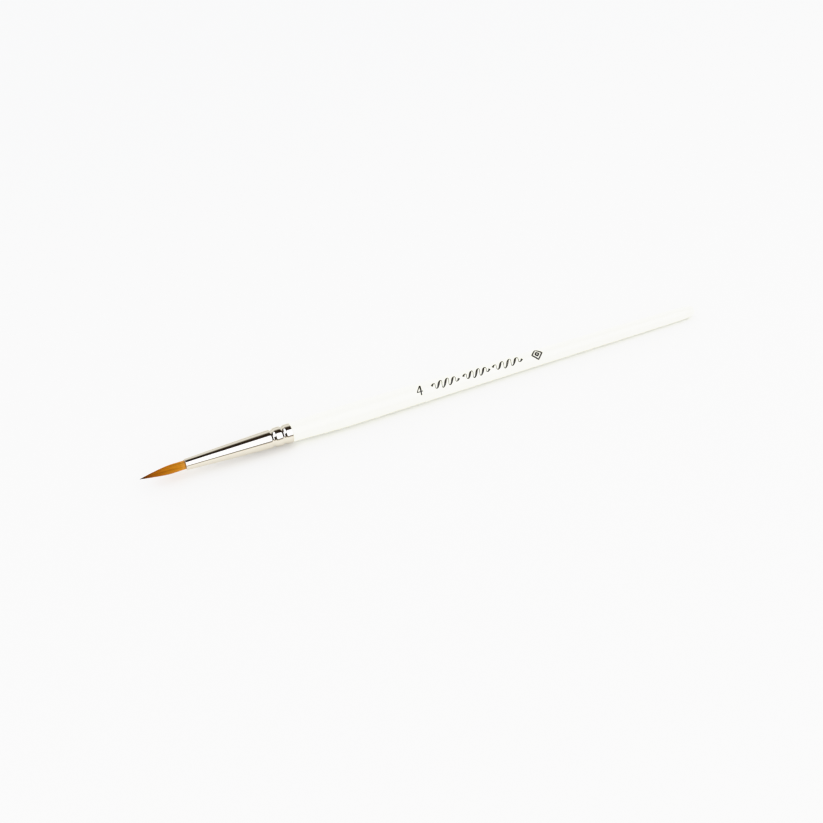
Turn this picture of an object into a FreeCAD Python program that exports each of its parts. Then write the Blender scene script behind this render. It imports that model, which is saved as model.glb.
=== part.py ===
import FreeCAD, Part

# Fine detail brush: a round hair tuft in a drawn, twice-crimped ferrule on a turned, lacquered
# wooden handle. Millimetres, +Z up. The brush lies along X with the tip towards -X. Outlines are
# (station, radius) pairs: stations run along the brush from the ferrule's mouth, positive towards
# the handle and negative towards the tip. The origin is under the brush's middle, on the level of
# the handle's lowest line.
import math
import os

# Driving dimensions.
LENGTH = 190.0
HAIR_OUT = 14.7
FERRULE_LENGTH = 34.6

# Ferrule: a drawn tube that thickens as it narrows, with two rolled crimps and a plain rear band.
MOUTH_RADIUS = 1.82
MOUTH_WALL = 0.42
LIP_RADIUS = 0.08
TAPER_END = 27.4
TAPER_END_RADIUS = 3.00
TAPER_BULGE = 0.03
RIM_RADIUS = 3.15
REAR_WALL = 0.30
CRIMPS = (28.5, 32.0)
CRIMP_HALF_WIDTH = 0.88
CRIMP_DEPTH = 0.35
CRIMP_STEPS = 8
BEAD_CROWN = 0.03

# Handle: wooden core with a tenon in the ferrule, under a dipped lacquer coat.
SEAM = 0.06
COAT = 0.15
BELLY_RADIUS = 3.50
HANDLE_BODY = (
    (FERRULE_LENGTH + SEAM, 3.02),
    (43.5, 3.32),
    (53.8, BELLY_RADIUS),
    (65.5, 3.38),
    (81.0, 3.18),
    (121.0, 2.65),
    (162.0, 2.22),
    (169.3, 2.10),
)
HANDLE_END = LENGTH - HAIR_OUT
END_SHOULDER = (HANDLE_END - 2.7, 1.94)
END_RADIUS = 1.62
END_ROUND = 0.50
TENON_START = 16.5
TENON_CHAMFER = 0.4
GLUE_FILM = 0.15

# Hair bundle: the root is tied, set in resin and fills the mouth, and the free tuft bends on it.
ROOT_BUTT = 11.5
ROOT_BUTT_RADIUS = 1.50
ROOT_RADIUS = 1.42
ROOT_MOUTH_RADIUS = 1.38
WAIST_RADIUS = 1.34
WAIST = (7.6, 9.2)
WAIST_RUN = 0.8
RESIN = (4.0, 12.6)
THREAD_RADIUS = 0.11
THREAD_PITCH = 0.24
THREAD_TURNS = 6

HINGE = -2.5
BALL_RADIUS = 1.31
BALL_CLEARANCE = 0.10
BEND_LIMIT = 40.0
CUP_MARGIN = 4.0
TIP_RADIUS = 0.05
TUFT_BODY = (
    (HINGE, BALL_RADIUS),
    (-4.2, 1.44),
    (-7.2, 1.26),
    (-9.7, 0.93),
    (-12.2, 0.53),
    (-14.1, 0.17),
    (-HAIR_OUT, TIP_RADIUS),
)

BORE_MOUTH = MOUTH_RADIUS - MOUTH_WALL
BORE_END = TAPER_END_RADIUS - REAR_WALL
BORE_RIM = RIM_RADIUS - REAR_WALL
MOUTH_X = HAIR_OUT - LENGTH / 2
AXIS_Z = BELLY_RADIUS
AXIS_DIRECTION = FreeCAD.Vector(1, 0, 0)


# Outline helpers, in the plane of the stations and radii.


def point(place):
    station, radius = place
    return FreeCAD.Vector(station, 0, radius)


def line(start, end):
    return Part.LineSegment(point(start), point(end)).toShape()


def arc(start, middle, end):
    return Part.Arc(point(start), point(middle), point(end)).toShape()


def curve(places):
    spline = Part.BSplineCurve()
    spline.interpolate([point(place) for place in places])
    return spline.toShape()


def on_circle(centre, radius, degrees):
    """A place on a circle, at an angle from the handle's direction."""
    angle = math.radians(degrees)
    return (centre[0] + radius * math.cos(angle), centre[1] + radius * math.sin(angle))


def turned(edges):
    """The solid of revolution of a closed outline, still at the mouth's own place."""
    face = Part.Face(Part.Wire(Part.__sortEdges__(edges)))
    return face.revolve(FreeCAD.Vector(0, 0, 0), AXIS_DIRECTION, 360)


def placed(shape):
    """Moves a shape from the mouth's own place to the part's frame."""
    moved = shape.copy()
    moved.translate(FreeCAD.Vector(MOUTH_X, 0, AXIS_Z))
    return moved


# Ferrule.


def crimp_radius(station, inset):
    """Radius of the rear stretch: it widens to the plain band, with two dips and a bead."""
    flare = min(1.0, (station - TAPER_END) / (CRIMPS[1] - TAPER_END))
    radius = TAPER_END_RADIUS + (RIM_RADIUS - TAPER_END_RADIUS) * flare - inset
    for centre in CRIMPS:
        offset = (station - centre) / CRIMP_HALF_WIDTH
        if abs(offset) < 1:
            radius -= CRIMP_DEPTH * (1 + math.cos(math.pi * offset)) / 2
    bead_start = CRIMPS[0] + CRIMP_HALF_WIDTH / 2
    bead_end = CRIMPS[1] - CRIMP_HALF_WIDTH / 2
    if bead_start < station < bead_end:
        share = (station - bead_start) / (bead_end - bead_start)
        radius += BEAD_CROWN * math.sin(math.pi * share)
    return radius


def crimp_stations():
    """Stations that follow the dips closely and the bead between them more loosely."""
    stations = []
    for centre in CRIMPS:
        for step in range(-CRIMP_STEPS // 2, CRIMP_STEPS // 2 + 1):
            stations.append(centre + 2 * step * CRIMP_HALF_WIDTH / CRIMP_STEPS)
    stations.append(sum(CRIMPS) / 2)
    return sorted(stations)


def rear_outline(inset):
    """The crimped stretch and the rear band, from the end of the taper to the rear rim."""
    stations = [TAPER_END, *crimp_stations()]
    places = [(station, crimp_radius(station, inset)) for station in stations]
    return [curve(places), line(places[-1], (FERRULE_LENGTH, RIM_RADIUS - inset))]


def taper_place(station, mouth_radius, end_radius):
    """A place on the slightly bulging taper between two radii at its ends."""
    share = station / TAPER_END
    radius = mouth_radius + (end_radius - mouth_radius) * share
    return (station, radius + 4 * TAPER_BULGE * share * (1 - share))


def taper_edge(start, mouth_radius, end_radius):
    """The taper's outline from a station to its rear end."""
    middle = (start + TAPER_END) / 2
    stations = (start, middle, TAPER_END)
    return arc(*[taper_place(station, mouth_radius, end_radius) for station in stations])


def bore_outline():
    """The ferrule's inside, from the mouth to the rear rim."""
    return [taper_edge(0, BORE_MOUTH, BORE_END), *rear_outline(REAR_WALL)]


def ferrule():
    lip_start = (0, MOUTH_RADIUS - LIP_RADIUS)
    lip_middle = on_circle((LIP_RADIUS, lip_start[1]), LIP_RADIUS, 135)
    lip_end = taper_place(LIP_RADIUS, MOUTH_RADIUS, TAPER_END_RADIUS)
    return turned([
        line((0, BORE_MOUTH), lip_start),
        arc(lip_start, lip_middle, lip_end),
        taper_edge(LIP_RADIUS, MOUTH_RADIUS, TAPER_END_RADIUS),
        *rear_outline(0),
        line((FERRULE_LENGTH, RIM_RADIUS), (FERRULE_LENGTH, BORE_RIM)),
        *bore_outline(),
    ])


def bore_stretch(start, end):
    """The solid that fills the ferrule's bore between two stations."""
    filling = turned([
        *bore_outline(),
        line((FERRULE_LENGTH, BORE_RIM), (FERRULE_LENGTH, 0)),
        line((FERRULE_LENGTH, 0), (0, 0)),
        line((0, 0), (0, BORE_MOUTH)),
    ])
    reach = RIM_RADIUS * 2
    slab = Part.makeBox(end - start, 2 * reach, 2 * reach, FreeCAD.Vector(start, -reach, -reach))
    return filling.common(slab)


# Handle.


def handle_outline(inset):
    """The handle's outside from the ferrule to the middle of its blunt end, or a skin below it."""
    body = [(station, radius - inset) for station, radius in HANDLE_BODY]
    shoulder = (END_SHOULDER[0], END_SHOULDER[1] - inset)
    round_station = HANDLE_END - END_ROUND
    corner = (round_station, END_RADIUS - inset)
    edge = on_circle((round_station, END_RADIUS - END_ROUND), END_ROUND - inset, 45)
    flat = (HANDLE_END - inset, END_RADIUS - END_ROUND)
    return [
        curve(body),
        arc(body[-1], shoulder, corner),
        arc(corner, edge, flat),
        line(flat, (HANDLE_END - inset, 0)),
    ]


def handle_core():
    """The wood: a tapered tenon that the crimps bite into, a shoulder and the turned handle."""
    side_start = TENON_START + TENON_CHAMFER
    side_radii = (BORE_MOUTH - GLUE_FILM, BORE_END - GLUE_FILM)
    nose_edge = taper_place(side_start, *side_radii)
    nose = (TENON_START, nose_edge[1] - TENON_CHAMFER)
    shoulder_station, shoulder_radius = HANDLE_BODY[0]
    neck = (shoulder_station, BORE_RIM)
    return turned([
        line((TENON_START, 0), nose),
        line(nose, nose_edge),
        taper_edge(side_start, *side_radii),
        line((TAPER_END, BORE_END - GLUE_FILM), (TAPER_END, BORE_END)),
        *rear_outline(REAR_WALL),
        line((FERRULE_LENGTH, BORE_RIM), neck),
        line(neck, (shoulder_station, shoulder_radius - COAT)),
        *handle_outline(COAT),
        line((HANDLE_END - COAT, 0), (TENON_START, 0)),
    ])


def handle_lacquer():
    start_station, start_radius = HANDLE_BODY[0]
    return turned([
        line((start_station, start_radius - COAT), (start_station, start_radius)),
        *handle_outline(0),
        line((HANDLE_END, 0), (HANDLE_END - COAT, 0)),
        *handle_outline(COAT),
    ])


def handle_glue():
    return bore_stretch(TENON_START + TENON_CHAMFER, TAPER_END).cut(handle_core())


# Hair bundle and what holds it.


def hair_root():
    cup_radius = BALL_RADIUS + BALL_CLEARANCE
    rim_angle = 90 - BEND_LIMIT - CUP_MARGIN
    cup_rim = on_circle((HINGE, 0), cup_radius, rim_angle)
    cup_middle = on_circle((HINGE, 0), cup_radius, rim_angle / 2)
    cup_bottom = (HINGE + cup_radius, 0)
    neck = (cup_rim[0], BALL_RADIUS)
    outside = [
        neck,
        (0, ROOT_MOUTH_RADIUS),
        (WAIST[0] - WAIST_RUN, ROOT_RADIUS),
        (WAIST[0], WAIST_RADIUS),
        (WAIST[1], WAIST_RADIUS),
        (ROOT_BUTT, ROOT_BUTT_RADIUS),
    ]
    edges = [line(start, end) for start, end in zip(outside, outside[1:])]
    edges += [
        line(outside[-1], (ROOT_BUTT, 0)),
        line((ROOT_BUTT, 0), cup_bottom),
        arc(cup_bottom, cup_middle, cup_rim),
        line(cup_rim, neck),
    ]
    return turned(edges)


def hair_tuft():
    ball_back = (HINGE + BALL_RADIUS, 0)
    ball_middle = on_circle((HINGE, 0), BALL_RADIUS, 45)
    tip = (-HAIR_OUT, 0)
    return turned([
        arc(ball_back, ball_middle, TUFT_BODY[0]),
        curve(TUFT_BODY),
        line(TUFT_BODY[-1], tip),
        line(tip, ball_back),
    ])


def thread_stations():
    """The middle of each turn of the thread, side by side in the waist of the hair root."""
    first = (sum(WAIST) - THREAD_PITCH * (THREAD_TURNS - 1)) / 2
    return [first + turn * THREAD_PITCH for turn in range(THREAD_TURNS)]


def binding_thread():
    ring_radius = WAIST_RADIUS + THREAD_RADIUS
    turns = []
    for station in thread_stations():
        centre = FreeCAD.Vector(station, 0, 0)
        turns.append(Part.makeTorus(ring_radius, THREAD_RADIUS, centre, AXIS_DIRECTION))
    return Part.makeCompound(turns)


def thread_groove():
    """The plain band that the wound thread takes up in the resin."""
    stations = thread_stations()
    start = stations[0] - THREAD_RADIUS
    length = stations[-1] + THREAD_RADIUS - start
    radius = WAIST_RADIUS + 2 * THREAD_RADIUS
    return Part.makeCylinder(radius, length, FreeCAD.Vector(start, 0, 0), AXIS_DIRECTION)


def resin_plug():
    return bore_stretch(*RESIN).cut(hair_root()).cut(thread_groove())


NODES = {
    "ferrule": ferrule,
    "handle_core": handle_core,
    "handle_lacquer": handle_lacquer,
    "handle_glue": handle_glue,
    "hair_root": hair_root,
    "hair_tuft": hair_tuft,
    "binding_thread": binding_thread,
    "resin_plug": resin_plug,
}


def main():
    os.makedirs("parts", exist_ok=True)
    for name, make in NODES.items():
        placed(make()).exportStep(f"parts/{name}.step")


main()
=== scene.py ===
# Fine detail brush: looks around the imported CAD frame. Metres; X along the brush, tip towards -X.
import math
import random

import bpy
import numpy as np
from mathutils import Matrix, Vector


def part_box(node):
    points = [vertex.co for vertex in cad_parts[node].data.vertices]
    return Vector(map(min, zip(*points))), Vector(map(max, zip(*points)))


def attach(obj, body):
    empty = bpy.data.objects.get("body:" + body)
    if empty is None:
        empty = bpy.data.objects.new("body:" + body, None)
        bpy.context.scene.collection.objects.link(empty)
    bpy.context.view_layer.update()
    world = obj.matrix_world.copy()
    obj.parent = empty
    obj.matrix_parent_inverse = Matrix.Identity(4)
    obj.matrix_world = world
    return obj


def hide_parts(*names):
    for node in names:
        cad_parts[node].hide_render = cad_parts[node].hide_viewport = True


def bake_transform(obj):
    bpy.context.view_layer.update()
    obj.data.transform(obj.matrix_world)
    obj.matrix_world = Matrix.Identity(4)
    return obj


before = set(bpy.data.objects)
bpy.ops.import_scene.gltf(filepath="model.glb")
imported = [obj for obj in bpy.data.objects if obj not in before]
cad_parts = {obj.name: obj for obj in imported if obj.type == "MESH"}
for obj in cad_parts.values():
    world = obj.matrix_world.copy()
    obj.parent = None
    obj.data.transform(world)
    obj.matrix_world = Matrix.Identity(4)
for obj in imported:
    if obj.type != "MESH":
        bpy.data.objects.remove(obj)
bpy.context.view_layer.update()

MM = 0.001
HANDLE = "handle"
PROFILE_BINS = 400
BEHIND_BELLY = 20 * MM


# Places, all read from the frame.


def profile(node):
    """Stations and outer radii of a turned node, from its own vertices, in order along X."""
    points = np.array([vertex.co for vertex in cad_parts[node].data.vertices])
    radii = np.hypot(points[:, 1], points[:, 2] - axis_z)
    order = np.argsort(points[:, 0])
    stations, radii = points[order, 0], radii[order]
    bins = np.linspace(stations[0], stations[-1], PROFILE_BINS)
    nearest = np.clip(np.searchsorted(bins, stations), 0, len(bins) - 1)
    outer = np.zeros(len(bins))
    np.maximum.at(outer, nearest, radii)
    filled = outer > 0
    return bins[filled], outer[filled]


low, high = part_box("ferrule")
axis_z = (low.z + high.z) / 2
mouth_x = low.x
tip_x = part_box("hair_tuft")[0].x
handle_stations, handle_radii = profile("handle_lacquer")
belly = int(np.argmax(handle_radii))
belly_x = float(handle_stations[belly])
tuft_stations, tuft_radii = profile("hair_tuft")
root_stations, root_radii = profile("hair_root")
hair_length = mouth_x - tip_x


def handle_radius(x):
    """Outer radius of the lacquered handle at a station."""
    return float(np.interp(x, handle_stations, handle_radii))


def resting_slope():
    """Slope of the table that touches the handle's belly and, further back, its tapering end."""
    points = np.array([v.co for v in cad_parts["handle_lacquer"].data.vertices])
    behind = points[points[:, 0] > belly_x + BEHIND_BELLY]
    return float(np.min(behind[:, 2] / (behind[:, 0] - belly_x)))


floor_slope = resting_slope()


# The straight part of the ferrule's taper, measured back from its mouth.
TAPER_FROM = 1.0 * MM
TAPER_TO = 27.0 * MM
FACES_OUT = 0.5


def taper_slope():
    """How fast the ferrule widens along its straight taper, from its outward-facing vertices."""
    places = []
    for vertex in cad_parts["ferrule"].data.vertices:
        from_axis = Vector((0, vertex.co.y, vertex.co.z - axis_z))
        in_taper = TAPER_FROM < vertex.co.x - mouth_x < TAPER_TO
        if in_taper and vertex.normal.dot(from_axis) > 0:
            places.append((vertex.co.x, from_axis.length))
    stations, radii = np.transpose(places)
    return float(np.polyfit(stations, radii, 1)[0])


ferrule_slope = taper_slope()


# Materials.


def new_material(name):
    """An empty principled material: the material, its node tree and its shader."""
    material = bpy.data.materials.new(name)
    material.use_nodes = True
    tree = material.node_tree
    shader = tree.nodes["Principled BSDF"]
    return material, tree, shader


def add(tree, kind, **settings):
    """A new node, with its sockets and properties set by name."""
    node = tree.nodes.new(kind)
    for key, value in settings.items():
        if key in node.inputs:
            node.inputs[key].default_value = value
        else:
            setattr(node, key, value)
    return node


def object_place(tree, scale=(1, 1, 1)):
    """Object coordinates stretched by a scale, for grain that runs along or across the brush."""
    place = add(tree, "ShaderNodeTexCoord")
    mapping = add(tree, "ShaderNodeMapping", Scale=scale)
    tree.links.new(place.outputs["Object"], mapping.inputs["Vector"])
    return mapping.outputs["Vector"]


def noise(tree, vector, scale, detail=3.0, roughness=0.5):
    node = add(tree, "ShaderNodeTexNoise", Scale=scale, Detail=detail, Roughness=roughness)
    tree.links.new(vector, node.inputs["Vector"])
    return node.outputs["Fac"]


def ramp(tree, factor, stops):
    """A colour ramp from (position, colour) stops."""
    node = add(tree, "ShaderNodeValToRGB")
    elements = node.color_ramp.elements
    while len(elements) < len(stops):
        elements.new(0.5)
    for element, (position, colour) in zip(elements, stops):
        element.position = position
        element.color = (*colour, 1.0)
    tree.links.new(factor, node.inputs["Fac"])
    return node.outputs["Color"]


def spread(tree, factor, low_value, high_value):
    """Maps a 0 to 1 factor to a range of values."""
    node = add(tree, "ShaderNodeMapRange")
    node.inputs["To Min"].default_value = low_value
    node.inputs["To Max"].default_value = high_value
    tree.links.new(factor, node.inputs["Value"])
    return node.outputs["Result"]


def bump(tree, shader, height, strength, distance, normal=None):
    """Raises a shader's surface by a height map, on top of a given normal if there is one."""
    node = add(tree, "ShaderNodeBump", Strength=strength, Distance=distance)
    tree.links.new(height, node.inputs["Height"])
    if normal:
        tree.links.new(normal, node.inputs["Normal"])
    tree.links.new(node.outputs["Normal"], shader.inputs["Normal"])


def vector_math(tree, operation, first, second=None, output="Vector"):
    node = add(tree, "ShaderNodeVectorMath", operation=operation)
    for socket, value in zip(node.inputs, (first, second)):
        if isinstance(value, tuple):
            socket.default_value = value
        elif value:
            tree.links.new(value, socket)
    return node.outputs[output]


def calculate(tree, operation, *values):
    """A math node on numbers and sockets."""
    node = add(tree, "ShaderNodeMath", operation=operation)
    for socket, value in zip(node.inputs, values):
        if isinstance(value, (int, float)):
            socket.default_value = value
        else:
            tree.links.new(value, socket)
    return node.outputs["Value"]


def scaled(tree, vector, factor):
    """A vector times a number, both sockets."""
    node = add(tree, "ShaderNodeVectorMath", operation="SCALE")
    tree.links.new(vector, node.inputs["Vector"])
    tree.links.new(factor, node.inputs["Scale"])
    return node.outputs["Vector"]


def cone_normal(tree, from_axis, normal):
    """The exact normal on the outside of the ferrule's straight taper, the given one elsewhere."""
    across = vector_math(tree, "MULTIPLY", from_axis, (0, 1, 1))
    outward = vector_math(tree, "NORMALIZE", across)
    exact = vector_math(tree, "SUBTRACT", outward, (ferrule_slope, 0, 0))
    split = add(tree, "ShaderNodeSeparateXYZ")
    tree.links.new(from_axis, split.inputs["Vector"])
    middle = mouth_x + (TAPER_FROM + TAPER_TO) / 2
    reach = (TAPER_TO - TAPER_FROM) / 2
    in_taper = calculate(tree, "COMPARE", split.outputs["X"], middle, reach)
    facing = vector_math(tree, "DOT_PRODUCT", normal, outward, output="Value")
    faces_out = calculate(tree, "GREATER_THAN", facing, FACES_OUT)
    outside = calculate(tree, "MULTIPLY", in_taper, faces_out)
    change = vector_math(tree, "SUBTRACT", exact, normal)
    return vector_math(tree, "ADD", normal, scaled(tree, change, outside))


def turned_normal(tree, on_ferrule=False):
    """The surface's normal without the small sideways errors of a faceted turned mesh.

    On a turned form the normal has no part that runs round the axis, so that part is taken out.
    """
    place = add(tree, "ShaderNodeTexCoord")
    from_axis = vector_math(tree, "SUBTRACT", place.outputs["Object"], (0, 0, axis_z))
    around = vector_math(tree, "CROSS_PRODUCT", (1, 0, 0), from_axis)
    around = vector_math(tree, "NORMALIZE", around)
    normal = place.outputs["Normal"]
    share = vector_math(tree, "DOT_PRODUCT", normal, around, output="Value")
    clean = vector_math(tree, "SUBTRACT", normal, scaled(tree, around, share))
    if on_ferrule:
        clean = cone_normal(tree, from_axis, clean)
    world = add(tree, "ShaderNodeVectorTransform", vector_type="NORMAL")
    world.convert_from = "OBJECT"
    world.convert_to = "WORLD"
    tree.links.new(vector_math(tree, "NORMALIZE", clean), world.inputs["Vector"])
    return world.outputs["Vector"]


def ferrule_material():
    """Plated metal: warm and mirror bright, with faint lengthwise drawing lines and soft smears."""
    material, tree, shader = new_material("ferrule_metal")
    shader.inputs["Metallic"].default_value = 1.0
    lines = noise(tree, object_place(tree, (8, 2600, 2600)), 1.0, 2.0)
    smears = noise(tree, object_place(tree, (120, 420, 420)), 1.0, 4.0)
    colour = ramp(tree, smears, [(0.3, (0.74, 0.68, 0.57)), (0.7, (0.78, 0.73, 0.62))])
    tree.links.new(colour, shader.inputs["Base Color"])
    tree.links.new(spread(tree, smears, 0.07, 0.12), shader.inputs["Roughness"])
    bump(tree, shader, lines, 0.02, 0.002 * MM, turned_normal(tree, on_ferrule=True))
    return material


def lacquer_material():
    """Dipped lacquer: cream white, slightly uneven, with a fine orange-peel skin."""
    material, tree, shader = new_material("white_lacquer")
    cloud = noise(tree, object_place(tree, (40, 160, 160)), 1.0, 3.0)
    peel = noise(tree, object_place(tree), 900.0, 2.0)
    colour = ramp(tree, cloud, [(0.3, (0.950, 0.945, 0.805)), (0.7, (0.970, 0.966, 0.835))])
    tree.links.new(colour, shader.inputs["Base Color"])
    tree.links.new(spread(tree, cloud, 0.22, 0.32), shader.inputs["Roughness"])
    shader.inputs["Coat Weight"].default_value = 0.3
    shader.inputs["Coat Roughness"].default_value = 0.08
    bump(tree, shader, peel, 0.12, 0.01 * MM, turned_normal(tree))
    return material


def wood_material():
    """Pale close-grained wood, grain along the handle."""
    material, tree, shader = new_material("handle_wood")
    grain = noise(tree, object_place(tree, (25, 900, 900)), 1.0, 6.0, 0.6)
    stops = [(0.25, (0.50, 0.33, 0.18)), (0.5, (0.66, 0.48, 0.29)), (0.8, (0.76, 0.59, 0.39))]
    tree.links.new(ramp(tree, grain, stops), shader.inputs["Base Color"])
    tree.links.new(spread(tree, grain, 0.45, 0.65), shader.inputs["Roughness"])
    bump(tree, shader, grain, 0.3, 0.03 * MM)
    return material


GLUE_COLOURS = ((0.7, 0.6, 0.4), (0.8, 0.72, 0.52))
GLUE_GRAIN = 700
GLUE_ROUGHNESS = (0.35, 0.55)
RESIN_COLOURS = ((0.38, 0.22, 0.08), (0.5, 0.32, 0.13))
RESIN_GRAIN = 500
RESIN_ROUGHNESS = (0.12, 0.3)


def cured_material(name, dark, light, scale, rough_low, rough_high):
    """Cured glue or resin: mottled, slightly uneven gloss."""
    material, tree, shader = new_material(name)
    cloud = noise(tree, object_place(tree), scale, 4.0)
    tree.links.new(ramp(tree, cloud, [(0.3, dark), (0.7, light)]), shader.inputs["Base Color"])
    tree.links.new(spread(tree, cloud, rough_low, rough_high), shader.inputs["Roughness"])
    bump(tree, shader, cloud, 0.2, 0.02 * MM)
    return material


def thread_material():
    """Twisted cotton thread: fine slanted ply lines round each turn."""
    material, tree, shader = new_material("thread")
    ply = noise(tree, object_place(tree, (9000, 2500, 2500)), 1.0, 2.0)
    colour = ramp(tree, ply, [(0.3, (0.55, 0.50, 0.40)), (0.7, (0.80, 0.76, 0.66))])
    tree.links.new(colour, shader.inputs["Base Color"])
    tree.links.new(spread(tree, ply, 0.7, 0.9), shader.inputs["Roughness"])
    bump(tree, shader, ply, 0.5, 0.02 * MM)
    return material


# Colours of the hair from the ferrule's mouth (0) to the point (1). The dark first stop is partly a
# resin stain and partly painted shade at the mouth; the bright stop after it is a painted glow.
HAIR_TONES_AND_PAINTED_LIGHT = [
    (0.00, (0.20, 0.080, 0.015)),
    (0.03, (0.62, 0.28, 0.045)),
    (0.12, (0.53, 0.207, 0.013)),
    (0.40, (0.43, 0.147, 0.005)),
    (0.66, (0.31, 0.090, 0.003)),
    (0.83, (0.18, 0.046, 0.003)),
    (0.93, (0.055, 0.017, 0.005)),
    (1.00, (0.016, 0.009, 0.007)),
]
HAIR_STREAK = 0.12
HAIR_VALUES = (0.5, 1.5)


def attribute(tree, name):
    """A number that the mesh stores at each of its points."""
    return add(tree, "ShaderNodeAttribute", attribute_name=name).outputs["Fac"]


def hair_material(name, painted_shade_scale=1.0):
    """Natural hair: golden near the mouth, partly its own colour and partly a painted glow, with
    painted shade and resin stain right at the mouth, darker towards the point, each hair its own
    tone.
    """
    material, tree, shader = new_material(name)
    # The ramp paints shade right at the mouth and a glow just past it.
    along = ramp(tree, attribute(tree, "along"), HAIR_TONES_AND_PAINTED_LIGHT)
    streak = noise(tree, object_place(tree, (200, 6000, 6000)), 1.0, 2.0)
    uneven = spread(tree, streak, -HAIR_STREAK, HAIR_STREAK)
    shade = calculate(tree, "ADD", attribute(tree, "tint"), uneven)
    vary = add(tree, "ShaderNodeHueSaturation")
    tree.links.new(along, vary.inputs["Color"])
    darkest, lightest = HAIR_VALUES
    # A scale below 1 darkens the whole hair colour as painted shade.
    value = spread(tree, shade, darkest * painted_shade_scale, lightest * painted_shade_scale)
    tree.links.new(value, vary.inputs["Value"])
    tree.links.new(vary.outputs["Color"], shader.inputs["Base Color"])
    tree.links.new(spread(tree, streak, 0.42, 0.55), shader.inputs["Roughness"])
    shader.inputs["Specular IOR Level"].default_value = 0.12
    shader.inputs["Specular Tint"].default_value = (1.0, 0.55, 0.12, 1.0)
    return material


def ink_material():
    """Printed ink: brown-black, a little thin in places."""
    material, tree, shader = new_material("print_ink")
    cover = noise(tree, object_place(tree), 2500.0, 3.0)
    colour = ramp(tree, cover, [(0.3, (0.010, 0.008, 0.006)), (0.75, (0.035, 0.026, 0.020))])
    tree.links.new(colour, shader.inputs["Base Color"])
    tree.links.new(spread(tree, cover, 0.35, 0.5), shader.inputs["Roughness"])
    return material


# The paper's colour from near the camera (0) to far behind the brush (1): white, with painted shade
# that makes it a touch darker and cooler further back.
PAPER_NEAR = -160 * MM
PAPER_FAR = 190 * MM
PAPER_TONE_AND_PAINTED_SHADE = [
    (0.00, (0.955, 0.955, 0.950)),
    (0.45, (0.940, 0.940, 0.940)),
    (0.75, (0.922, 0.924, 0.926)),
    (1.00, (0.880, 0.895, 0.908)),
]


def floor_material():
    """Matt white paper, with painted shade: a touch cooler and darker further behind the brush."""
    material, tree, shader = new_material("paper")
    place = add(tree, "ShaderNodeTexCoord")
    split = add(tree, "ShaderNodeSeparateXYZ")
    tree.links.new(place.outputs["Object"], split.inputs["Vector"])
    depth = add(tree, "ShaderNodeMapRange")
    depth.inputs["From Min"].default_value = PAPER_NEAR
    depth.inputs["From Max"].default_value = PAPER_FAR
    tree.links.new(split.outputs["Y"], depth.inputs["Value"])
    # Painted shade: the paper darkens and cools towards the back.
    tone_and_shade = ramp(tree, depth.outputs["Result"], PAPER_TONE_AND_PAINTED_SHADE)
    fibre = noise(tree, place.outputs["Object"], 400.0, 4.0)
    vary = add(tree, "ShaderNodeHueSaturation")
    tree.links.new(tone_and_shade, vary.inputs["Color"])
    tree.links.new(spread(tree, fibre, 0.992, 1.006), vary.inputs["Value"])
    tree.links.new(vary.outputs["Color"], shader.inputs["Base Color"])
    shader.inputs["Roughness"].default_value = 0.9
    shader.inputs["Specular IOR Level"].default_value = 0.0
    return material


def finish_cad_nodes():
    """Materials for the CAD nodes that keep their own shape."""
    glue = cured_material("handle_glue", *GLUE_COLOURS, GLUE_GRAIN, *GLUE_ROUGHNESS)
    resin = cured_material("resin", *RESIN_COLOURS, RESIN_GRAIN, *RESIN_ROUGHNESS)
    materials = {
        "ferrule": ferrule_material(),
        "handle_lacquer": lacquer_material(),
        "handle_core": wood_material(),
        "handle_glue": glue,
        "resin_plug": resin,
        "binding_thread": thread_material(),
    }
    for node, material in materials.items():
        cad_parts[node].material_slots[0].material = material


# Hair.

STRANDS = 1050
HAIR_SEED = 4
STRAND_SIDES = 5
STRAND_RINGS = 18
STRAND_START = 1.0 * MM
STRAND_RADIUS = 0.045 * MM
STRAND_END_RADIUS = 0.014 * MM
STRAND_THINNEST = 0.85
STRAND_SWELL = 0.3
SWELL_RATE = 1.3
POINT_BIAS = 5
CLUMPS = 44
CLUMP_CONTRAST = 0.17
CLUMP_GATHER = 0.55
GATHER_RATE = 2.5
CLUMP_GROOVE = 0.05 * MM
SHADE_SPREAD = 0.22
OUTER_SHARE = 0.62
INNER_EDGE = 0.86
FULL_LENGTH_INSIDE = 0.6
SHORTEST_CUT = 0.42
SHORTEST_CUT_INSIDE = 0.02
LENGTH_BIAS = 1.8
SWIRL = -0.55
STRAY = 0.05
WAVE_TURN = 0.012
WAVE_RATE = 5
TUCK = 0.12
TUCK_BIAS = 3
TIP_BLUNT = 0.09 * MM
TIP_SWAY = Vector((0, -0.12 * MM, -0.26 * MM))
SWAY_BIAS = 1.4
CORE_SHARE = 0.80
CORE_SIDES = 40
CORE_RINGS = 24
CORE_END = 0.985
CORE_START = -0.04
# Painted shade: the core's hair colour is darkened to this share.
CORE_PAINTED_SHADE = 0.6
MIDDLE_TINT = 0.5
ROOT_START = 0.6 * STRAND_START
ROOT_ALONG = 0.1
ROOT_TINTS = (0.2, 0.8)
ROOT_SHARE = 0.985
ROOT_SIDES = 144
ROOT_RIDGE = 0.012
ROOT_RIDGES = 36


def tuft_radius(x):
    """Outer radius of the hair at a station: it swells from the mouth to its belly, then narrows."""
    mouth_radius = float(np.interp(mouth_x, root_stations, root_radii))
    widest = int(np.argmax(tuft_radii))
    if x >= mouth_x:
        return mouth_radius
    if x > tuft_stations[widest]:
        share = (mouth_x - x) / (mouth_x - tuft_stations[widest])
        return mouth_radius + (tuft_radii[widest] - mouth_radius) * math.sin(math.pi / 2 * share)
    return max(TIP_BLUNT, float(np.interp(x, tuft_stations, tuft_radii)))


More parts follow.
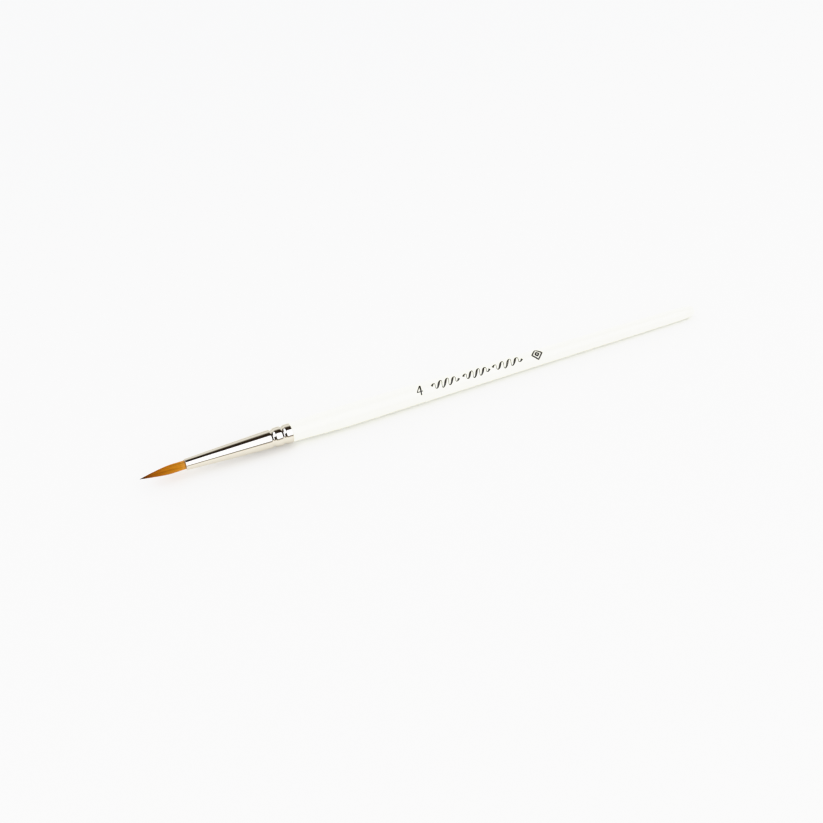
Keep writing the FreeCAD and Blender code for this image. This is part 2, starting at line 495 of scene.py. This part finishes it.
def sway(share):
    """The bundle isn't quite straight: its point hangs a hair's breadth off the axis."""
    return TIP_SWAY * share**SWAY_BIAS


def smooth_step(value):
    """0 below 0, 1 above 1, and an even rise between them."""
    value = min(1.0, max(0.0, value))
    return value * value * (3 - 2 * value)


def strand_rings(generator, clump):
    """One hair: its centre line, radii and how far along the bundle each ring is."""
    outer = generator.random() < OUTER_SHARE
    if outer:
        spread_share = generator.uniform(INNER_EDGE, 1.0)
    else:
        spread_share = math.sqrt(generator.random()) * INNER_EDGE
    sector = 2 * math.pi / CLUMPS
    offset = generator.uniform(-0.5, 0.5) * sector
    reach = 1 - SHORTEST_CUT * generator.random() ** LENGTH_BIAS
    if spread_share < FULL_LENGTH_INSIDE:
        reach = 1 - SHORTEST_CUT_INSIDE * generator.random()
    stray = generator.gauss(0, STRAY)
    wave = generator.uniform(0, 2 * math.pi)
    tuck = TUCK * generator.random()
    rings = []
    for ring in range(STRAND_RINGS):
        step = ring / (STRAND_RINGS - 1)
        x = mouth_x + STRAND_START - (STRAND_START + hair_length * reach) * step
        share = max(0.0, (mouth_x - x) / hair_length)
        swell = math.sin(math.pi * min(1, step * SWELL_RATE))
        thickness = STRAND_RADIUS * (STRAND_THINNEST + STRAND_SWELL * swell)
        thickness += (STRAND_END_RADIUS - thickness) * step**POINT_BIAS
        gather = smooth_step(share * GATHER_RATE)
        turn = clump * sector + offset * (1 - CLUMP_GATHER * gather)
        turn += SWIRL * share + stray * step + WAVE_TURN * math.sin(wave + WAVE_RATE * step)
        edge = max(0.0, tuft_radius(x) - thickness)
        out = edge * spread_share * (1 - tuck * step**TUCK_BIAS)
        if outer:
            out -= CLUMP_GROOVE * gather * (1 - share) * (2 * abs(offset) / sector)
        centre = Vector((x, out * math.cos(turn), axis_z + out * math.sin(turn))) + sway(share)
        rings.append((centre, thickness, share))
    return rings


def strands_mesh(count, seed):
    """All the hairs in one mesh: each clump has a shade, and each hair its own beside it."""
    generator = random.Random(seed)
    clump_shades = [MIDDLE_TINT + CLUMP_CONTRAST * (-1) ** clump for clump in range(CLUMPS)]
    vertices, faces, along, tint = [], [], [], []
    for _ in range(count):
        base = len(vertices)
        clump = generator.randrange(CLUMPS)
        shade = min(1.0, max(0.0, generator.gauss(clump_shades[clump], SHADE_SPREAD)))
        rings = strand_rings(generator, clump)
        for centre, thickness, share in rings:
            for side in range(STRAND_SIDES):
                angle = 2 * math.pi * side / STRAND_SIDES
                offset = Vector((0, math.cos(angle), math.sin(angle))) * thickness
                vertices.append(centre + offset)
                along.append(share)
                tint.append(shade)
        for ring in range(STRAND_RINGS - 1):
            for side in range(STRAND_SIDES):
                a = base + ring * STRAND_SIDES + side
                b = base + ring * STRAND_SIDES + (side + 1) % STRAND_SIDES
                faces.append((b, a, a + STRAND_SIDES, b + STRAND_SIDES))
        last = base + (STRAND_RINGS - 1) * STRAND_SIDES
        faces.append(tuple(range(base, base + STRAND_SIDES)))
        faces.append(tuple(reversed(range(last, last + STRAND_SIDES))))
    return vertices, faces, along, tint


def mesh_object(name, vertices, faces, material, smooth=True, **attributes):
    """A mesh piece in the scene; attributes are lists with one number for each vertex."""
    mesh = bpy.data.meshes.new(name)
    mesh.from_pydata([tuple(v) for v in vertices], [], faces)
    mesh.polygons.foreach_set("use_smooth", [smooth] * len(mesh.polygons))
    for key, values in attributes.items():
        mesh.attributes.new(key, "FLOAT", "POINT").data.foreach_set("value", values)
    mesh.materials.append(material)
    mesh.update()
    piece = bpy.data.objects.new(name, mesh)
    bpy.context.scene.collection.objects.link(piece)
    return piece


def bend_with_tuft(piece):
    """Bakes the piece's placement into its mesh."""
    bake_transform(piece)


def turned_mesh(rings, sides, ridge=0.0, ridges=1):
    """A closed turned form from (centre, radius) rings, with fine ridges along it if asked."""
    vertices, faces = [], []
    for centre, radius in rings:
        for side in range(sides):
            angle = 2 * math.pi * side / sides
            reach = radius * (1 + ridge * math.sin(ridges * angle))
            vertices.append(centre + Vector((0, math.cos(angle), math.sin(angle))) * reach)
    for ring in range(len(rings) - 1):
        for side in range(sides):
            a = ring * sides + side
            b = ring * sides + (side + 1) % sides
            faces.append((a, b, b + sides, a + sides))
    last = (len(rings) - 1) * sides
    faces.append(tuple(reversed(range(sides))))
    faces.append(tuple(range(last, last + sides)))
    return vertices, faces


def make_core():
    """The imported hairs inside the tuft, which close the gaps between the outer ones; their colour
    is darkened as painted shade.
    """
    rings, along = [], []
    for ring in range(CORE_RINGS):
        step = ring / (CORE_RINGS - 1)
        share = CORE_END * (1 - step) + CORE_START * step
        x = mouth_x - hair_length * share
        share = max(0.0, share)
        centre = Vector((x, 0, axis_z)) + sway(share)
        rings.append((centre, tuft_radius(x) * CORE_SHARE))
        along += [share] * CORE_SIDES
    vertices, faces = turned_mesh(rings, CORE_SIDES)
    tint = [MIDDLE_TINT] * len(vertices)
    material = hair_material("hair_core_painted_shade", painted_shade_scale=CORE_PAINTED_SHADE)
    core = mesh_object("hair_core", vertices, faces, material, along=along, tint=tint)
    bend_with_tuft(core)


def make_bound_end(material):
    """The tied and glued root of the bundle, inside the ferrule: ridged by its hairs."""
    keep = root_stations >= mouth_x + ROOT_START
    stations = root_stations[keep]
    radii = root_radii[keep]
    rings = [(Vector((x, 0, axis_z)), r * ROOT_SHARE) for x, r in zip(stations, radii)]
    vertices, faces = turned_mesh(rings, ROOT_SIDES, ROOT_RIDGE, ROOT_RIDGES)
    along = [ROOT_ALONG] * len(vertices)
    generator = random.Random(ROOT_SIDES)
    side_tints = [generator.uniform(*ROOT_TINTS) for _ in range(ROOT_SIDES)]
    tint = side_tints * len(rings)
    root = mesh_object("hair_bound_end", vertices, faces, material, along=along, tint=tint)
    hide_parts("hair_root")
    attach(root, HANDLE)


def make_hair():
    """The free hairs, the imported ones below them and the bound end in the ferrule."""
    material = hair_material("hair")
    vertices, faces, along, tint = strands_mesh(STRANDS, HAIR_SEED)
    hairs = mesh_object("hair_strands", vertices, faces, material, along=along, tint=tint)
    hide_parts("hair_tuft")
    bend_with_tuft(hairs)
    make_core()
    make_bound_end(material)


# Printed marks: a size numeral, three runs of a plain wave and a lozenge, along the handle's top.

INK_PROUD = 0.018 * MM
INK_SUNK = 0.012 * MM
NUMERAL_X = -2.7 * MM
NUMERAL_LIFT = 66.0
NUMERAL_HEIGHT = 3.3 * MM
NUMERAL_WIDTH = 2.1 * MM
WAVE_RUNS = [(1.5 * MM, 10.9 * MM), (12.4 * MM, 21.6 * MM), (22.7 * MM, 33.0 * MM)]
WAVE_PERIOD = 2.3 * MM
WAVE_HEIGHT = 2.7 * MM
WAVE_SLANT = 0.45
WAVE_ROUNDING = 0.045
WAVE_STEPS = 20
WAVE_ENDS = 0.45
LOZENGE_X = 38.3 * MM
LOZENGE_LIFT = 74.0
LOZENGE_SIZE = (1.75 * MM, 1.8 * MM)
LOZENGE_INNER = 0.36
LOZENGE_STEPS = 6
THIN = 0.20 * MM
THICK = 0.72 * MM
LOZENGE_STROKE = 0.75 * THICK
NUMERAL_STROKE = 1.6 * THIN
STEM_STROKES = (0.9 * THICK, 0.65 * THICK)
STEM_TOP = 0.30
STEM_FOOT = 0.08
BAR_DROP = 0.30
RIBBON_CORNERS = 4


def print_angle(x):
    """Direction of the print's middle line from the axis: it drifts a little round the handle."""
    share = (x - NUMERAL_X) / (LOZENGE_X - NUMERAL_X)
    lift = NUMERAL_LIFT + (LOZENGE_LIFT - NUMERAL_LIFT) * share
    return math.pi - math.radians(lift)


def on_handle(x, up, lift):
    """A point of the print: x along the brush, up across it round the handle's surface."""
    radius = handle_radius(x)
    angle = print_angle(x) - up / radius
    reach = radius + lift
    return Vector((x, reach * math.cos(angle), axis_z + reach * math.sin(angle)))


def stroke(places, widths, closed=False):
    """A flat ribbon of ink, of varying width, that lies on the handle: vertices and faces."""
    vertices, faces = [], []
    count = len(places)
    for index, (place, width) in enumerate(zip(places, widths)):
        before = places[index - 1] if index or closed else place
        after = places[(index + 1) % count] if index < count - 1 or closed else place
        along = Vector((after[0] - before[0], after[1] - before[1])).normalized()
        side = Vector((-along.y, along.x)) * width / 2
        for sign, lift in ((-1, -INK_SUNK), (-1, INK_PROUD), (1, INK_PROUD), (1, -INK_SUNK)):
            x = place[0] + sign * side.x
            up = place[1] + sign * side.y
            vertices.append(on_handle(x, up, lift))
    spans = count if closed else count - 1
    for index in range(spans):
        near = RIBBON_CORNERS * index
        far = RIBBON_CORNERS * ((index + 1) % count)
        for corner in range(RIBBON_CORNERS):
            following = (corner + 1) % RIBBON_CORNERS
            faces.append((near + corner, near + following, far + following, far + corner))
    if not closed:
        last = RIBBON_CORNERS * (count - 1)
        faces.append((3, 2, 1, 0))
        faces.append((last, last + 1, last + 2, last + 3))
    return vertices, faces


def straight(start, end, width_start, width_end, steps=8):
    """Places and widths along a straight stroke."""
    places, widths = [], []
    for step in range(steps + 1):
        share = step / steps
        places.append(tuple(a + (b - a) * share for a, b in zip(start, end)))
        widths.append(width_start + (width_end - width_start) * share)
    return places, widths


def print_piece(name, strokes, material):
    """One printed mark, made of its strokes, on the handle."""
    vertices, faces = [], []
    for stroke_vertices, stroke_faces in strokes:
        base = len(vertices)
        vertices += stroke_vertices
        faces += [tuple(base + corner for corner in face) for face in stroke_faces]
    piece = mesh_object(name, vertices, faces, material, smooth=False)
    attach(piece, HANDLE)


def numeral_strokes():
    """The size number, a plain open four."""
    half = NUMERAL_HEIGHT / 2
    left = NUMERAL_X - NUMERAL_WIDTH / 2
    right = NUMERAL_X + NUMERAL_WIDTH / 2
    stem_top = (NUMERAL_X + STEM_TOP * NUMERAL_WIDTH, half)
    stem_foot = (NUMERAL_X + STEM_FOOT * NUMERAL_WIDTH, -half)
    bar = -BAR_DROP * half
    return [
        stroke(*straight(stem_top, (left, bar), NUMERAL_STROKE, NUMERAL_STROKE)),
        stroke(*straight((left, bar), (right, bar), NUMERAL_STROKE, NUMERAL_STROKE)),
        stroke(*straight(stem_top, stem_foot, *STEM_STROKES)),
    ]


def wave_strokes(start, end):
    """A run of a slanted wave that swells in its middle, thick on the way up and thin coming down."""
    turns = round((end - start) / WAVE_PERIOD)
    steps = turns * WAVE_STEPS
    places, widths = [], []
    for step in range(steps + 1):
        share = step / steps
        phase = 2 * math.pi * turns * share
        swell = WAVE_ENDS + (1 - WAVE_ENDS) * math.sin(math.pi * share)
        up = WAVE_HEIGHT / 2 * swell * math.sin(phase)
        rounding = WAVE_ROUNDING * WAVE_PERIOD * math.sin(2 * phase)
        places.append((start + (end - start) * share - rounding + WAVE_SLANT * up, up))
        rising = 0.5 + 0.5 * math.cos(phase)
        widths.append(THIN + (THICK - THIN) * rising**2)
    return [stroke(places, widths)]


def lozenge_strokes():
    """A lozenge in outline with a smaller one inside it."""
    strokes = []
    for size in (1.0, LOZENGE_INNER):
        reach_x = LOZENGE_SIZE[0] * size
        reach_up = LOZENGE_SIZE[1] * size
        corners = [(reach_x, 0), (0, reach_up), (-reach_x, 0), (0, -reach_up)]
        places = []
        for index, corner in enumerate(corners):
            following = corners[(index + 1) % len(corners)]
            for step in range(LOZENGE_STEPS):
                share = step / LOZENGE_STEPS
                x = corner[0] + (following[0] - corner[0]) * share
                up = corner[1] + (following[1] - corner[1]) * share
                places.append((LOZENGE_X + x, up))
        strokes.append(stroke(places, [LOZENGE_STROKE] * len(places), closed=True))
    return strokes


def make_print():
    material = ink_material()
    print_piece("size_numeral", numeral_strokes(), material)
    for number, (start, end) in enumerate(WAVE_RUNS, start=1):
        print_piece(f"printed_wave_{number}", wave_strokes(start, end), material)
    print_piece("printed_lozenge", lozenge_strokes(), material)


# Stage: floor, light and camera.

CAMERA_LENS = 100.0
CAMERA_DISTANCE = 721.3 * MM
CAMERA_AZIMUTH = -22.95
CAMERA_ELEVATION = 48.0
CAMERA_AIM = (-6.3 * MM, -3.45 * MM)
CAMERA_REACH = 20.0
FLOOR_SIZE = 4.0


def floor_height(x):
    """Height of the table below a station of the brush."""
    return (x - belly_x) * floor_slope


def floor_frame():
    """Rotation from a level table to the one that the brush lies on."""
    return Matrix.Rotation(-math.atan(floor_slope), 4, "Y")


def make_floor():
    """The table, which touches the brush where it rests."""
    half = FLOOR_SIZE / 2
    corners = [(-half, -half, 0), (half, -half, 0), (half, half, 0), (-half, half, 0)]
    floor = mesh_object("floor", corners, [(0, 1, 2, 3)], floor_material(), smooth=False)
    floor.matrix_world = Matrix.Translation((0, 0, floor_height(0))) @ floor_frame()


def make_camera():
    """The camera above and in front of the brush, turned from the table's own level."""
    data = bpy.data.cameras.new("camera")
    data.lens = CAMERA_LENS
    data.clip_end = CAMERA_REACH
    camera = bpy.data.objects.new("camera", data)
    bpy.context.scene.collection.objects.link(camera)
    azimuth = math.radians(CAMERA_AZIMUTH)
    elevation = math.radians(CAMERA_ELEVATION)
    back = Vector((
        math.sin(azimuth) * math.cos(elevation),
        -math.cos(azimuth) * math.cos(elevation),
        math.sin(elevation),
    ))
    aim = Vector((*CAMERA_AIM, floor_height(CAMERA_AIM[0])))
    turn = back.to_track_quat("Z", "Y").to_matrix().to_4x4()
    tilt = floor_frame()
    place = aim + tilt.to_3x3() @ back * CAMERA_DISTANCE
    camera.matrix_world = Matrix.Translation(place) @ tilt @ turn
    bpy.context.scene.camera = camera


# Directions are two angles in degrees: the lift from the side nearest the camera (0) over the
# top (90) to the far side (180), and the turn towards the brush's ends.
DOME_LEVEL = 1.32
DOME_LEAN = 0.1
SOFTBOX_COLOUR = (2.0, 2.12, 2.5, 1)
# Each softbox: middle and half size.
SOFTBOXES = [
    ((52, 15), (32, 25)),
    ((92, -44), (32, 20)),
    ((14, 70), (30, 25)),
]
SOFTBOX_CORNER = 4
SOFTBOX_EDGE = (0.45, 1.6)
HALF_TURN = 180
# What gloss sees of the studio between the softboxes, by lift.
STUDIO_STOPS = [
    (0, (0.95, 0.93, 0.88)),
    (6, (0.88, 0.85, 0.79)),
    (10, (0.16, 0.13, 0.09)),
    (16, (0.12, 0.10, 0.07)),
    (20, (0.022, 0.012, 0.006)),
    (123, (0.022, 0.012, 0.006)),
    (133, (0.50, 0.48, 0.44)),
    (141, (1.00, 1.00, 0.98)),
    (160, (1.00, 1.00, 1.00)),
    (171, (0.76, 0.77, 0.76)),
    (180, (0.55, 0.56, 0.55)),
]


def softbox(tree, lift, turn, centre, half):
    """1 inside a round-cornered light, 0 outside it. Angles in degrees, lift and turn as sockets."""
    terms = []
    for angle, middle, reach in zip((lift, turn), centre, half):
        offset = calculate(tree, "SUBTRACT", angle, middle)
        ratio = calculate(tree, "DIVIDE", calculate(tree, "ABSOLUTE", offset), reach)
        terms.append(calculate(tree, "POWER", ratio, SOFTBOX_CORNER))
    distance = calculate(tree, "ADD", *terms)
    fade = add(tree, "ShaderNodeMapRange", interpolation_type="SMOOTHSTEP")
    fade.inputs["From Min"].default_value = SOFTBOX_EDGE[1]
    fade.inputs["From Max"].default_value = SOFTBOX_EDGE[0]
    tree.links.new(distance, fade.inputs["Value"])
    return fade.outputs["Result"]


# The colour mix node has sockets of the same name for each kind of data, so they go by number.
MIX_FACTOR, MIX_FIRST, MIX_SECOND, MIX_RESULT = 0, 6, 7, 2


def mix_colours(tree, factor, first, second):
    """The first colour at factor 0, the second at 1."""
    node = add(tree, "ShaderNodeMix", data_type="RGBA")
    tree.links.new(factor, node.inputs[MIX_FACTOR])
    for socket, value in zip((node.inputs[MIX_FIRST], node.inputs[MIX_SECOND]), (first, second)):
        if isinstance(value, tuple):
            socket.default_value = value
        else:
            tree.links.new(value, socket)
    return node.outputs[MIX_RESULT]


def make_world():
    """A white dome, a little brighter behind the brush, lights it; gloss sees softboxes instead."""
    world = bpy.data.worlds.new("studio")
    world.use_nodes = True
    tree = world.node_tree
    background = tree.nodes["Background"]
    place = add(tree, "ShaderNodeTexCoord")
    split = add(tree, "ShaderNodeSeparateXYZ")
    tree.links.new(place.outputs["Generated"], split.inputs["Vector"])
    near = calculate(tree, "MULTIPLY", split.outputs["Y"], -1)
    lift = calculate(tree, "DEGREES", calculate(tree, "ARCTAN2", split.outputs["Z"], near))
    turn = calculate(tree, "DEGREES", calculate(tree, "ARCSINE", split.outputs["X"]))
    stops = [(degrees / HALF_TURN, colour) for degrees, colour in STUDIO_STOPS]
    studio = ramp(tree, calculate(tree, "DIVIDE", lift, HALF_TURN), stops)
    boxes = [softbox(tree, lift, turn, *box) for box in SOFTBOXES]
    lit = mix_colours(tree, calculate(tree, "MAXIMUM", *boxes), studio, SOFTBOX_COLOUR)
    path = add(tree, "ShaderNodeLightPath")
    dome = calculate(tree, "MULTIPLY_ADD", split.outputs["Y"], DOME_LEAN, DOME_LEVEL)
    seen = mix_colours(tree, path.outputs["Is Glossy Ray"], dome, lit)
    tree.links.new(seen, background.inputs["Color"])
    bpy.context.scene.world = world


# Brightness in the scene and in the picture: straight at first, then a soft shoulder.
FILM_CURVE = [
    (0.6, 0.6),
    (0.8, 0.775),
    (0.97, 0.90),
    (1.22, 0.956),
    (1.45, 0.985),
    (1.7, 1.0),
]
FILM_RANGE = 4.0
ALL_CHANNELS = 3


def make_view():
    """A bright exposure whose highlights roll off gently, as in a high-key studio picture."""
    view = bpy.context.scene.view_settings
    view.view_transform = "Standard"
    view.look = "None"
    view.use_curve_mapping = True
    mapping = view.curve_mapping
    mapping.clip_max_x = FILM_RANGE
    curve = mapping.curves[ALL_CHANNELS]
    curve.points[1].location = (FILM_RANGE, 1.0)
    for place in FILM_CURVE:
        curve.points.new(*place)
    mapping.update()


finish_cad_nodes()
make_hair()
make_print()
make_floor()
make_world()
make_camera()
make_view()
